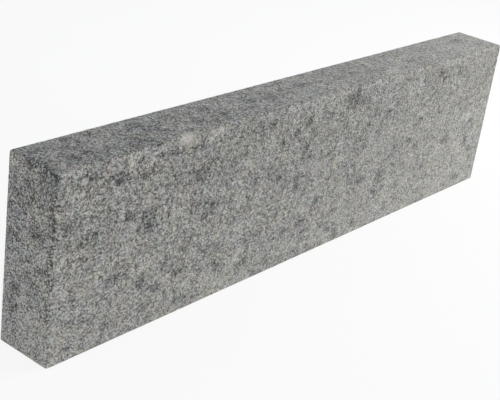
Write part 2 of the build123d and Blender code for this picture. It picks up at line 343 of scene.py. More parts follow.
class KerbStoneFinish(bpy.types.PropertyGroup):
    """Colours of the granite's minerals, and the sizes and strengths of its marks."""

    mica: colour_setting("Mica", "Colour of the dark flecks", (0.0320, 0.0319, 0.0304))
    quartz: colour_setting("Quartz", "Colour of the grey grains", (0.1680, 0.1675, 0.1595))
    feldspar: colour_setting("Feldspar", "Colour of the commonest light grains", (0.3160, 0.3146, 0.3000))
    pale_feldspar: colour_setting("Pale feldspar", "Colour of the palest grains", (0.5530, 0.5506, 0.5250))
    cool_tint: colour_setting(
        "Cool tint", "Cast of the stone's bluish clouds", (0.968, 0.997, 1.034), most=2.0
    )
    warm_tint: colour_setting(
        "Warm tint", "Cast of the stone's warm clouds", (1.032, 1.003, 0.963), most=2.0
    )
    rosy_tint: colour_setting(
        "Rosy tint", "Cast of the stone's reddish clouds", (1.010, 0.978, 1.010), most=2.0
    )
    mossy_tint: colour_setting(
        "Mossy tint", "Cast of the stone's greenish clouds", (0.990, 1.022, 0.990), most=2.0
    )
    grain_size: length_setting("Grain size", "Width of a common grain", 0.0032, least=0.001)
    grain_contrast: strength_setting(
        "Grain contrast", "How much the tone varies from grain to grain", 0.29
    )
    fine_grain_contrast: strength_setting(
        "Fine grain contrast", "How much the tone varies between the smallest grains", 0.73
    )
    clump_size: length_setting("Clump size", "Width of the clumps of like grains", 0.010, least=0.002)
    clump_contrast: strength_setting(
        "Clump contrast", "How much the tone varies from clump to clump", 0.33
    )
    cloud_size: length_setting("Cloud size", "Width of the clouds on the faces", 0.042, least=0.01)
    cloud_contrast: strength_setting(
        "Cloud contrast", "How much the tone drifts from cloud to cloud", 0.39
    )
    # The paler dome is partly the lumps' own paleness and partly painted light on their rounded tops.
    dome_paleness_and_light: strength_setting(
        "Lump contrast", "How pale the hammered lumps are in their middles", 0.14
    )
    # Painted shade in the creases between the lumps.
    painted_rim_shade: strength_setting("Rim darkness", "How dark the rims of the hammered lumps are", 0.20)
    fleck_darkness: strength_setting("Fleck darkness", "How dark a fleck of mica is", 0.17)
    cluster_darkness: strength_setting(
        "Cluster darkness", "How dark the stone is between the flecks of a full cluster", 0.32
    )
    core_darkness: strength_setting("Core darkness", "How much darker still the few black cores are", 0.35)
    patch_paleness: strength_setting("Patch paleness", "How pale a full patch of feldspar is", 0.19)
    fresh_paleness: strength_setting("Fresh paleness", "How pale a fresh break is", 0.12)
    # Painted shade: the cracks' dark line stands for the shade in the steps at the breaks' edges.
    painted_crack_shade: strength_setting("Crack darkness", "How dark the cracks are", 0.22)


class KerbStoneStage(bpy.types.PropertyGroup):
    """Camera, floor and light."""

    azimuth: angle_setting(
        "Azimuth", "Where the camera stands, turned from straight in front of the stone", -53.313
    )
    elevation: angle_setting("Elevation", "How far the camera looks down", 24.078)
    roll: angle_setting("Roll", "Tilt of the camera about its line of sight", 8.17)
    distance: length_setting("Distance", "From the camera to the point that it aims at", 1.6878)
    aim: FloatVectorProperty(
        name="Aim",
        description="Point that the camera aims at",
        default=(-0.0527, 0.0315, 0.0730),
        size=3,
        subtype="TRANSLATION",
    )
    lens: FloatProperty(
        name="Lens",
        description="Focal length, in millimetres on a 36 mm sensor",
        default=82.97,
        unit="CAMERA",
    )
    floor_size: length_setting("Floor size", "Half the width of the floor", 8.0)
    sky_strength: FloatProperty(
        name="Sky strength", description="Strength of the soft light from all around", default=0.530
    )
    key_power: FloatProperty(
        name="Key power",
        description="Power of the soft light in front of the far end",
        default=27.2,
        unit="POWER",
    )
    fill_power: FloatProperty(
        name="Fill power",
        description="Power of the low soft light before the near end",
        default=10.5,
        unit="POWER",
    )


def between(first, last, share):
    """The value that lies a share of the way from first to last."""
    return first + (last - first) * share


def smooth_step(values, low, high):
    """0 below low, 1 above high and a smooth rise between them."""
    share = np.clip((values - low) / (high - low), 0.0, 1.0)
    return share * share * (3.0 - 2.0 * share)


def smooth_fall(values, low, high):
    """1 below low, 0 above high and a smooth fall between them."""
    return 1.0 - smooth_step(values, low, high)


def noise_at(places, spacing, offset, octaves=1):
    """Noise from about -1 to 1 at each place, of features that far apart. Each offset has its own."""
    shift = Vector([offset * share for share in NOISE_SHIFT_SHARES])
    shifted = [Vector(place) / spacing + shift for place in places]
    if octaves == 1:
        return np.array([noise.noise(place) for place in shifted])
    fall_off, lacunarity = 1.0, 2.0
    return np.array([noise.fractal(place, fall_off, lacunarity, octaves) for place in shifted])


def put_in_order(block):
    """Sorts the vertices and the faces by their places, because their own order varies from run to run."""
    for elements, place in (
        (block.verts, lambda vert: vert.co[:]),
        (block.faces, lambda face: sorted(vert.co[:] for vert in face.verts)),
    ):
        ranks = {element: rank for rank, element in enumerate(sorted(elements, key=place))}
        elements.sort(key=ranks.get)


def eased_block(shape):
    """A bmesh of the plain block with eased arrises, cut into a fine grid."""
    nearly_all_share = 0.99
    block = bmesh.new()
    bmesh.ops.create_cube(block, size=1.0)
    bmesh.ops.scale(block, vec=SIZE, verts=block.verts)
    bmesh.ops.translate(block, vec=(LOW + HIGH) / 2, verts=block.verts)
    bmesh.ops.bevel(
        block,
        geom=block.edges[:],
        offset=shape.eased_radius,
        segments=2,
        profile=0.5,
        affect="EDGES",
        material=-1,
    )
    for axis in (X, Y, Z):
        flat_length = SIZE[axis] - 2 * shape.eased_radius
        cuts = round(flat_length / shape.grid_spacing) - 1
        long_edges = []
        for edge in block.edges:
            run = edge.verts[1].co - edge.verts[0].co
            if abs(run[axis]) > nearly_all_share * max(flat_length, run.length):
                long_edges.append(edge)
        bmesh.ops.subdivide_edges(block, edges=long_edges, cuts=cuts, use_grid_fill=True)
    bmesh.ops.recalc_face_normals(block, faces=block.faces)
    put_in_order(block)
    return block


def lay_out_faces(block):
    """Gives the block a UV map with one true-shape strip for each long side, and one for both ends."""
    gap = 12 * MILLIMETRE
    layer = block.loops.layers.uv.new("OFBake")
    strips = {}
    foot = gap
    for side in ("front", "back", "top", "bed"):
        axis, end, across, up = SIDES[side]
        strips[axis, end] = (across, up, gap, foot)
        foot += SIZE[up] + gap
    strips[X, 0] = (Z, Y, gap, foot)
    strips[X, 1] = (Z, Y, 2 * gap + HEIGHT, foot)
    foot += THICKNESS + gap
    width = LENGTH + 2 * gap
    for face in block.faces:
        axis = max((X, Y, Z), key=lambda i: abs(face.normal[i]))
        across, up, left, bottom = strips[axis, int(face.normal[axis] > 0)]
        for loop in face.loops:
            place = loop.vert.co - LOW
            loop[layer].uv = ((left + place[across]) / width, (bottom + place[up]) / foot)


def inward_directions(places):
    """Directions into the stone, square to its faces and fanned round its arrises and corners."""
    fan_reach = 10 * MILLIMETRE
    from_low = np.clip(fan_reach - (places - np.array(LOW)), 0.0, None)
    from_high = np.clip(fan_reach - (np.array(HIGH) - places), 0.0, None)
    inward = from_low - from_high
    return inward / np.linalg.norm(inward, axis=1)[:, None]


def on_side(inward, side):
    """Which places lie on one side of the stone, up to the middle of its arrises."""
    axis, end, _, _ = SIDES[side]
    facing = (1, -1)[end]
    nearest = (np.abs(inward) + FIRST_SIDE_SHARES).argmax(axis=1)
    return (nearest == axis) & (np.sign(inward[:, axis]) == facing)


def side_values(inward, values):
    """The value of the side that each place lies on."""
    spread = np.zeros(len(inward))
    for side, value in values.items():
        spread[on_side(inward, side)] = value
    return spread


def side_shares(places, side):
    """How far across and how far up one side each place lies, in shares of the side."""
    _, _, across, up = SIDES[side]
    across_share = (places[:, across] - LOW[across]) / SIZE[across]
    up_share = (places[:, up] - LOW[up]) / SIZE[up]
    return across_share, up_share


def break_depths(places, inward):
    """How far the construction solid lies inside the plain block at each place."""
    start = 2 * MILLIMETRE
    deepest = 12 * MILLIMETRE
    facet_error = 0.1 * MILLIMETRE
    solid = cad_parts[STONE_NODE].data
    tree = BVHTree.FromPolygons(
        [v.co.copy() for v in solid.vertices],
        [tuple(p.vertices) for p in solid.polygons],
    )
    depths = np.zeros(len(places))
    for index, (place, direction) in enumerate(zip(places, inward)):
        way = Vector(direction)
        hit, _, _, distance = tree.ray_cast(Vector(place) - way * start, way, start + deepest)
        if hit is not None:
            depths[index] = max(0.0, distance - start - facet_error)
    return depths


def hammering(places, inward):
    """How much of the hammered lumps shows at each place, most at the near end and near the top."""
    far_share = 0.25
    foot_share = 0.35
    along, up = side_shares(places, "front")
    near_end = between(1.0, far_share, smooth_step(along, low=0.10, high=0.50))
    near_top = between(foot_share, 1.0, smooth_step(up, low=0.35, high=0.75))
    return side_values(inward, HAMMERED_SHARES) * (near_end * near_top)


def relief(places, lumps, hammered, shape):
    """Depth of the tooled texture and of the nibbled arrises at each place."""
    crease_inset = 0.30
    least_hammered_share = 0.3
    most_proud = 0.3 * MILLIMETRE
    pits = noise_at(places, shape.pit_size, offset=11.0)
    sway = noise_at(places, shape.sway_size, offset=5.0, octaves=2)
    crease = smooth_fall(lumps, 0.0, crease_inset)
    texture = shape.lump_depth * (crease - MIDDLE) * between(least_hammered_share, 1.0, hammered)
    texture -= (shape.pit_depth * pits + shape.sway_depth * sway) / 2
    texture = np.maximum(texture, -most_proud)

    # The texture fades towards the arrises. Small bites break the worn ones.
    fade_reach = 8 * MILLIMETRE
    arris_share = 0.4
    bite_reach = 5 * MILLIMETRE
    insets = np.minimum(places - np.array(LOW), np.array(HIGH) - places)
    from_arris = np.sort(insets, axis=1)[:, 1]
    depth = texture * between(arris_share, 1.0, smooth_step(from_arris, 0.0, fade_reach))
    from_corner = np.abs(places - np.array((LOW.x, LOW.y, HIGH.z)))
    near_worn = smooth_fall(np.sort(from_corner, axis=1)[:, 1], 0.0, bite_reach)
    bites = noise_at(places, shape.nibble_size, offset=23.0, octaves=2)
    return depth + shape.nibble_depth * near_worn * smooth_step(bites, low=-0.15, high=0.75)


def arris_wear_and_light(places, inward):
    """Tone along the front's worn arrises: a paler strip on the front, partly bruising and, along the top
    arris, partly painted highlight, and a darker strip of painted shade on the top.
    """
    full_reach = 4 * MILLIMETRE
    pale_reach = 17 * MILLIMETRE
    shade_reach = 11 * MILLIMETRE
    patch_size = 45 * MILLIMETRE
    least_pale_share, most_pale_share = 0.5, 1.3
    near_paleness, far_paleness, end_paleness = 0.085, 0.030, 0.050
    near_shade, far_shade = 0.005, 0.075
    along, up = side_shares(places, "front")
    patches = smooth_step(noise_at(places, patch_size, offset=41.0), low=-0.4, high=0.4)
    # Along the top arris the paler strip is partly bruising and partly painted highlight on the rounded
    # arris.
    top_bruise_and_highlight = smooth_fall(HIGH.z - places[:, Z], full_reach, pale_reach)
    top_bruise_and_highlight *= between(least_pale_share, most_pale_share, patches)
    top_bruise_and_highlight *= between(near_paleness, far_paleness, smooth_step(along, low=0.30, high=0.65))
    end_bruise = smooth_fall(places[:, X] - LOW.x, full_reach, pale_reach)
    end_bruise *= end_paleness * smooth_step(up, low=0.50, high=0.65)
    # Painted shade: a darker strip on the top beside its front arris, most at the far end.
    painted_shade = smooth_fall(places[:, Y] - LOW.y, full_reach, shade_reach)
    painted_shade *= between(near_shade, far_shade, smooth_step(along, low=0.10, high=0.80))
    bruise_and_highlight = np.maximum(top_bruise_and_highlight, end_bruise) * on_side(inward, "front")
    return bruise_and_highlight - painted_shade * on_side(inward, "top")


def arris_painted_shade(places, inward):
    """Painted shade on the near end: a dark band in patches along the upper half of its front arris."""
    full_reach = 4 * MILLIMETRE
    last_reach = 9 * MILLIMETRE
    patch_size = 22 * MILLIMETRE
    darkness = 0.75
    least_patch_share = 0.5
    upper_share = 0.4
    _, up = side_shares(places, "left")
    patches = smooth_step(noise_at(places, patch_size, offset=53.0), low=-0.5, high=0.3)
    band = smooth_fall(places[:, Y] - LOW.y, full_reach, last_reach) * smooth_step(up, low=0.34, high=0.46)
    band *= between(1.0, upper_share, smooth_step(up, low=0.74, high=0.82))
    return darkness * band * between(least_patch_share, 1.0, patches) * on_side(inward, "left")


def patch_cover(places, side, warp, shares, full_width):
    """Cover of one side's soft mineral patches, from 0 to the strongest."""
    warp_share = 0.7
    full_reach = 0.30
    last_reach = 1.55
    _, _, across, up = SIDES[side]
    across_shares, up_shares = side_shares(places, side)
    cover = np.zeros(len(places))
    for across_share, up_share, width_share, height_share, strength in shares:
        right = (across_shares - across_share) * SIZE[across] / (width_share * full_width / 2)
        above = (up_shares - up_share) * SIZE[up] / (height_share * full_width / 2)
        reach = np.hypot(right, above) + warp_share * warp
        cover = np.maximum(cover, strength * smooth_fall(reach, full_reach, last_reach))
    return cover


def scattered_shares(side, spacing, seed):
    """Rows of shares for a side that is not placed by hand, one for each square of that spacing."""
    width_shares = (0.3, 0.95)
    height_shares = (0.25, 0.7)
    strength_shares = (0.5, 1.0)
    _, _, across, up = SIDES[side]
    draw = random.Random(f"{side} {seed}")
    rows = []
    for _ in range(round(SIZE[across] * SIZE[up] / spacing**2)):
        middle = (draw.random(), draw.random())
        spread = [draw.uniform(*shares) for shares in (width_shares, height_shares, strength_shares)]
        rows.append((*middle, *spread))
    return rows


def mineral_shares(seed):
    """Rows of shares of the dark clusters, the pale patches and the fresh breaks, by side."""
    dark_spacing = 48 * MILLIMETRE
    pale_spacing = 75 * MILLIMETRE
    dark = {"front": FRONT_DARK_SHARES, "top": TOP_DARK_SHARES, "left": LEFT_DARK_SHARES}
    pale = {"front": FRONT_PALE_SHARES, "top": TOP_PALE_SHARES, "left": LEFT_PALE_SHARES}
    fresh = {"front": FRONT_FRESH_SHARES, "top": TOP_FRESH_SHARES}
    for side in ("back", "bed", "right"):
        dark[side] = scattered_shares(side, dark_spacing, seed)
        pale[side] = scattered_shares(side, pale_spacing, seed + 1)
    return dark, pale, fresh


def mineral_cover(places, inward, warp, shares, full_width):
    """Cover of one kind of mineral patch at each place."""
    cover = np.zeros(len(places))
    for side, rows in shares.items():
        here = on_side(inward, side)
        cover[here] = patch_cover(places[here], side, warp[here], rows, full_width)
    return cover


def painted_light_drift(places, inward):
    """Painted light and shade at each place: a slow drift of tone about the middle of its side."""
    drift = np.zeros(len(places))
    for side, (across_drift, up_drift) in PAINTED_LIGHT_DRIFT_SHARES.items():
        here = on_side(inward, side)
        across_share, up_share = side_shares(places[here], side)
        drift[here] = across_drift * (across_share - MIDDLE) + up_drift * (up_share - MIDDLE)
    return drift


def add_node(tree, kind, settings=None, inputs=None):
    """A new node. An input that is a field or another node's output is linked, and any other is set."""
    made = tree.nodes.new(kind)
    for name, value in (settings or {}).items():
        setattr(made, name, value)
    for name, value in (inputs or {}).items():
        if isinstance(value, Field):
            value = value.socket
        if isinstance(value, bpy.types.NodeSocket):
            tree.links.new(value, made.inputs[name])
        else:
            made.inputs[name].default_value = value
    return made


class Field:
    """A number that varies from place to place, as the output of a node. Sums of fields make Math nodes."""

    kind = "ShaderNodeMath"

    def __init__(self, socket):
        self.socket = socket
        self.tree = socket.id_data

    def worked_out(self, operation, first, second=None, output=0):
        """Output of a new node for one operation."""
        inputs = {0: first} if second is None else {0: first, 1: second}
        return add_node(self.tree, self.kind, {"operation": operation}, inputs).outputs[output]

    def __add__(self, other):
        return type(self)(self.worked_out("ADD", self, other))

    def __sub__(self, other):
        return type(self)(self.worked_out("SUBTRACT", self, other))

    def __rsub__(self, other):
        return type(self)(self.worked_out("SUBTRACT", other, self))

    def __mul__(self, other):
        return type(self)(self.worked_out("MULTIPLY", self, other))

    def __abs__(self):
        return type(self)(self.worked_out("ABSOLUTE", self))

    def least(self, other):
        """The lesser of the two at each place."""
        return type(self)(self.worked_out("MINIMUM", self, other))

    def greatest(self, other):
        """The greater of the two at each place."""
        return type(self)(self.worked_out("MAXIMUM", self, other))

    def is_below(self, other):
        """1 where it lies below the other, and 0 elsewhere."""
        return type(self)(self.worked_out("LESS_THAN", self, other))

    __radd__ = __add__
    __rmul__ = __mul__


class VectorField(Field):
    """A vector that varies from place to place. Sums of these make Vector Math nodes."""

    kind = "ShaderNodeVectorMath"

    def __truediv__(self, other):
        return VectorField(self.worked_out("DIVIDE", self, other))

    def dot(self, other):
        """Dot product with another vector."""
        return Field(self.worked_out("DOT_PRODUCT", self, other, output="Value"))

    def length(self):
        """Length of the vector."""
        return Field(self.worked_out("LENGTH", self, output="Value"))

    def part(self, axis):
        """The vector's part along one axis."""
        return Field(add_node(self.tree, "ShaderNodeSeparateXYZ", inputs={0: self}).outputs[axis])


def attribute(tree, name):
    """One of the stone's own attributes."""
    return Field(add_node(tree, "ShaderNodeAttribute", {"attribute_name": name}).outputs["Fac"])


def noise_node(places, spacing, detail, roughness=0.6):
    """A noise with features of about that spacing."""
    inputs = {"Vector": places, "Scale": 1.0 / spacing, "Detail": detail, "Roughness": roughness}
    return add_node(places.tree, "ShaderNodeTexNoise", inputs=inputs)


def noise_texture(places, spacing, detail, roughness=0.6):
    """Noise around 0.5, with features of about that spacing."""
    return Field(noise_node(places, spacing, detail, roughness).outputs["Fac"])


def wandering(places, spacing, reach):
    """The places, shifted by noise, so that the outlines drawn from them wander."""
    wander = VectorField(noise_node(places, spacing, detail=2.0).outputs["Color"])
    return places + (wander - (MIDDLE, MIDDLE, MIDDLE)) * (reach, reach, reach)


def grain_tone(places, width):
    """A tone of its own, from 0 to 1, for each grain of a mosaic."""
    tree = places.tree
    cells = add_node(tree, "ShaderNodeTexVoronoi", inputs={"Vector": places, "Scale": 1.0 / width})
    return Field(add_node(tree, "ShaderNodeSeparateColor", inputs={0: cells.outputs["Color"]}).outputs[0])


def rise(value, low, high):
    """0 below low, 1 above high and a smooth rise between them."""
    inputs = {"Value": value, "From Min": low, "From Max": high}
    smooth = {"interpolation_type": "SMOOTHSTEP"}
    return Field(add_node(value.tree, "ShaderNodeMapRange", smooth, inputs).outputs[0])


def fall(value, low, high):
    """1 below low, 0 above high and a smooth fall between them."""
    return 1.0 - rise(value, low, high)


def mix_colours(tree, blend, factor, first, second):
    """Output of a Mix node for colours."""
    settings = {"data_type": "RGBA", "blend_type": blend}
    return add_node(tree, "ShaderNodeMix", settings, {0: factor, 6: first, 7: second}).outputs[2]


def front_place(across_share, up_share):
    """A place in the front's plane, from shares of its length and height."""
    return LOW + Vector((across_share * LENGTH, 0.0, up_share * HEIGHT))


def placed_lump_reach(places, full_width):
    """How far each place lies from the middle of the nearest placed lump, 1 on the lump's rim."""
    lump_depth = 20.0 * MILLIMETRE
    reaches = []
    for across_share, up_share, width_share, height_share in FRONT_LUMP_SHARES:
        radii = (width_share * full_width / 2, lump_depth, height_share * full_width / 2)
        reaches.append(((places - tuple(front_place(across_share, up_share))) / radii).length())
    return reduce(Field.least, reaches)


def lump_inset(places, shape):
    """How far inside its rounded lump each place lies, 0 on the rim, and how far from a placed lump."""
    wander_size = 7.0 * MILLIMETRE
    wander_reach = 4.5 * MILLIMETRE
    placed_wander_reach = 2.5 * MILLIMETRE
    radius_share = 0.35
    wandered = wandering(places, wander_size, wander_reach)
    inputs = {"Vector": wandered, "Scale": 1.0 / shape.lump_size}
    common = add_node(places.tree, "ShaderNodeTexVoronoi", {"feature": "DISTANCE_TO_EDGE"}, inputs)
    reach = placed_lump_reach(wandering(places, wander_size, placed_wander_reach), shape.cluster_size)
    from_rim = abs(reach - 1.0) * radius_share
    outside = from_rim.least(Field(common.outputs["Distance"]))
    return between(outside, from_rim, reach.is_below(1.0)), reach


def crack_reach(places):
    """How far each place lies from the nearest crack. A crack runs deeper into the stone than it is wide."""
    depth_share = 0.3
    reaches = []
    for start_across, start_up, end_across, end_up in FRONT_CRACK_SHARES:
        start = front_place(start_across, start_up)
        run = front_place(end_across, end_up) - start
        offset = places - tuple(start)
        along = offset.dot(tuple(run / run.length_squared)).greatest(0.0).least(1.0)
        foot = VectorField(offset.worked_out("MULTIPLY", along, tuple(run)))
        reaches.append(((offset - foot) * (1.0, depth_share, 1.0)).length())
    return reduce(Field.least, reaches)


def grains(places, finish):
    """Tones of the common and of the fine grains, from 0 to 1, and of the clumps and clouds, about 0."""
    wander_size = 4.0 * MILLIMETRE
    wander_reach = 1.6 * MILLIMETRE
    fine_share = 0.5
    warped = wandering(places, wander_size, wander_reach)
    own_tone = grain_tone(warped, finish.grain_size)
    fine_tone = grain_tone(places, finish.grain_size * fine_share)
    clump = noise_texture(warped, finish.clump_size, detail=2.0, roughness=0.7) - MIDDLE
    cloud = noise_texture(places, finish.cloud_size, detail=2.0) - MIDDLE
    return own_tone, fine_tone, clump, cloud


def ragged_clusters(cluster, clump):
    """The dark clusters, made ragged by the clumps, and the extra darkness of the few black cores. The
    strongest cores, at the near end's top corner and top arris, are painted shade in chips.
    """
    core_strength = 1.2
    raggedness = 1.8
    most_cover = 0.74
    mica_and_shade_cores = (cluster - core_strength).greatest(0.0)
    return (cluster * (1.0 - clump * raggedness)).least(most_cover), mica_and_shade_cores


def mica_flecks(own_tone, fine_tone, cluster, coarse):
    """Flecks of mica: the grains of the lowest tones turn dark, more of them where a cluster is."""
    own_share, fine_share = 0.6, 0.4
    common_share, coarse_share, cluster_share = 0.07, 0.05, 0.24
    tone = own_tone * own_share + fine_tone * fine_share
    dark_tones = cluster * cluster_share + coarse * coarse_share + common_share
    return rise(dark_tones - tone, low=-0.05, high=0.15)


def hammered_lumps(places, hammered, shape):
    """Rims and domes of the hammered lumps, which come and go, and how far off the nearest placed one is. In
    the colour, the rims are painted shade in the creases, and the domes are partly the lumps' own paleness
    and partly painted light.
    """
    patch_size = 36.0 * MILLIMETRE
    common_strength, placed_strength = 0.55, 1.4
    rim_top, dome_foot = 0.85, 0.43
    inset, placed_reach = lump_inset(places, shape)
    common = rise(noise_texture(places, patch_size, detail=1.0), low=0.32, high=0.55) * common_strength
    placed = fall(placed_reach, low=1.0, high=1.6) * placed_strength
    showing = common.greatest(placed) * hammered
    rim = rim_top - rise(inset, low=0.0, high=0.055)
    dome = rise(inset, low=0.03, high=0.20) - dome_foot
    return rim * showing, dome * showing, placed_reach


def cracks(places):
    """The few cracks beside the breaks, 1 in their middles: the steps at the breaks' edges. Their dark line
    in the colour is painted shade in the step.
    """
    wander_size = 5.0 * MILLIMETRE
    wander_reach = 2.0 * MILLIMETRE
    full_reach = 0.5 * MILLIMETRE
    last_reach = 2.0 * MILLIMETRE
    return fall(crack_reach(wandering(places, wander_size, wander_reach)), full_reach, last_reach)


def grain_marks(grain, fine_grain, clump, coarse, finish):
    """Marks of the grains and their clumps. The sides that aren't coarse have more of the finest grain."""
    plain_fine_share, plain_grain_share, plain_clump_share = 1.36, 0.25, 0.80
    fine_marks = fine_grain * finish.fine_grain_contrast * between(plain_fine_share, 1.0, coarse)
    marks = grain * finish.grain_contrast * between(plain_grain_share, 1.0, coarse)
    clump_marks = clump * finish.clump_contrast * between(plain_clump_share, 1.0, coarse)
    return fine_marks + marks + clump_marks


def calmness(placed_reach, fresh):
    """Strength of the grain's marks, which are calmer on the placed lumps and calmest on fresh breaks."""
    lump_calm_share = 0.65
    most_calm_share = 0.60
    calm = fall(placed_reach, low=0.4, high=1.0) * lump_calm_share
    return 1.0 - calm.greatest(fresh) * most_calm_share


def mineral_colour(tone, finish):
    """Colour of each tone, from dark mica through quartz and feldspar to the palest grains."""
    stops = (
        (0.12, finish.mica),
        (0.42, finish.quartz),
        (0.66, finish.feldspar),
        (1.0, finish.pale_feldspar),
    )
    ramp = add_node(tone.tree, "ShaderNodeValToRGB", inputs={"Fac": tone})
    elements = ramp.color_ramp.elements
    elements[0].position = stops[0][0]
    elements[1].position = stops[-1][0]
    for position, _ in stops[1:-1]:
        elements.new(position)
    for element, (_, shade) in zip(elements, stops):
        element.color = (*shade, 1.0)
    return ramp.outputs["Color"]


def with_casts(colour, places, boldness, cluster, pale_patch, fresh, coarse, finish):
    """A colour with its casts: bluish where mica gathers, warm where feldspar does, reddish or greenish."""
    warmth_size = 17.0 * MILLIMETRE
    moss_size = 15.0 * MILLIMETRE
    cluster_coolness, coarse_coolness = 0.10, 0.23
    patch_warmth, fresh_warmth, fresh_rosiness = 0.15, 0.35, 0.08
    warmth = noise_texture(places, warmth_size, detail=1.0)
    warmth = warmth - cluster * (coarse * coarse_coolness + cluster_coolness)
    warmth = warmth + pale_patch * patch_warmth + fresh * fresh_warmth
    moss = noise_texture(places + tuple(SIZE), moss_size, detail=1.0) - fresh * fresh_rosiness
    for cloud, first_tint, last_tint in (
        (warmth, finish.cool_tint, finish.warm_tint),
        (moss, finish.rosy_tint, finish.mossy_tint),
    ):
        share = rise(cloud, low=0.25, high=0.75)
        cast = mix_colours(places.tree, "MIX", share, (*first_tint, 1.0), (*last_tint, 1.0))
        colour = mix_colours(places.tree, "MULTIPLY", boldness, colour, cast)
    return colour


def fine_relief(places, grain, clump, lump_rim, crack):
    """Normals of the relief that is finer than the mesh."""
    pit_size = 2.4 * MILLIMETRE
    pit_depth = 1.2 * MILLIMETRE
    grain_height, clump_height, rim_depth, crack_depth = 0.35, 0.60, 0.40, 0.80
    strength = 0.6
    height = noise_texture(places, pit_size, detail=3.0) + grain * grain_height + clump * clump_height
    height = height - lump_rim * rim_depth - crack * crack_depth
    inputs = {"Height": height, "Strength": strength, "Distance": pit_depth}
    return add_node(places.tree, "ShaderNodeBump", inputs=inputs).outputs["Normal"]


def granite(shape, finish):
    """Rough grey granite: a mosaic of grains in clumps and clouds, with rounded lumps and mineral patches."""
    base_tone = 0.587
    middle_boldness, boldness_fall = 0.865, 0.28
    mean_roughness, roughness_spread = 0.81, 0.22
    gloss = 0.4
    material = bpy.data.materials.new("rough_grey_granite")
    material.use_nodes = True
    tree = material.node_tree
    tree.nodes.clear()
    places = VectorField(add_node(tree, "ShaderNodeTexCoord").outputs["Object"])
    coarse = attribute(tree, "coarse")
    pale_patch = attribute(tree, "pale_patch")
    fresh = attribute(tree, "fresh")

    own_tone, fine_tone, clump, cloud = grains(places, finish)
    grain = own_tone - MIDDLE
    fine_grain = fine_tone - MIDDLE
    # The dark clusters hold mica and some painted shade: at the near end's corner, chips and front arris, and
    # on the top's near part.
    cluster, mica_and_shade_cores = ragged_clusters(attribute(tree, "dark_mica_and_shade"), clump)
    fleck = mica_flecks(own_tone, fine_tone, cluster, coarse)
    lump_rim, lump_dome, placed_reach = hammered_lumps(places, attribute(tree, "hammered"), shape)
    crack = cracks(places)

    # All the marks are strongest at the near end.
    boldness = middle_boldness - places.part(X) * (boldness_fall / LENGTH)
    marks = grain_marks(grain, fine_grain, clump, coarse, finish) * calmness(placed_reach, fresh)
    for mark, strength in (
        (cloud, finish.cloud_contrast),
        # The lumps' domes are partly their own paleness and partly painted light. Their rims are painted
        # shade in the creases.
        (lump_dome, finish.dome_paleness_and_light),
        (lump_rim, -finish.painted_rim_shade),
        (fleck, -finish.fleck_darkness),
        (cluster, -finish.cluster_darkness),
        (mica_and_shade_cores, -finish.core_darkness),
        (pale_patch, finish.patch_paleness),
        (fresh, finish.fresh_paleness),
        # Painted shade in the steps along the breaks.
        (crack, -finish.painted_crack_shade),
    ):
        marks = marks + mark * strength
    # The shift in tone is painted light and shade, with some real bruising along the arrises.
    tone = marks * boldness + attribute(tree, "wear_and_painted_light") + base_tone
    colour = mineral_colour(tone, finish)
    colour = with_casts(colour, places, boldness, cluster, pale_patch, fresh, coarse, finish)

    inputs = {
        "Base Color": colour,
        "Roughness": fine_grain * roughness_spread + mean_roughness,
        "Normal": fine_relief(places, grain, clump, lump_rim, crack),
        "Specular IOR Level": gloss,
    }
    shader = add_node(tree, "ShaderNodeBsdfPrincipled", inputs=inputs)
    add_node(tree, "ShaderNodeOutputMaterial", inputs={"Surface": shader.outputs[0]})
    return material


def sampled_lumps(stone, shape):
    """The material's own hammered lumps, as how far inside its lump each vertex lies."""
    tree = bpy.data.node_groups.new("lumps", "GeometryNodeTree")
    tree.interface.new_socket("Geometry", in_out="INPUT", socket_type="NodeSocketGeometry")
    tree.interface.new_socket("Geometry", in_out="OUTPUT", socket_type="NodeSocketGeometry")
    given = add_node(tree, "NodeGroupInput").outputs[0]
    places = VectorField(add_node(tree, "GeometryNodeInputPosition").outputs[0])
    inset, _ = lump_inset(places, shape)
    stored = add_node(
        tree,
        "GeometryNodeStoreNamedAttribute",
        {"data_type": "FLOAT", "domain": "POINT"},
        {"Geometry": given, "Name": "lump", "Value": inset},
    )
    add_node(tree, "NodeGroupOutput", inputs={0: stored.outputs[0]})
    modifier = stone.modifiers.new("lumps", "NODES")
    modifier.node_group = tree
    evaluated = stone.evaluated_get(bpy.context.evaluated_depsgraph_get())
    lumps = np.empty(len(evaluated.data.vertices), np.float32)
    evaluated.data.attributes["lump"].data.foreach_get("value", lumps)
    stone.modifiers.remove(modifier)
    bpy.data.node_groups.remove(tree)
    return lumps.astype(float)


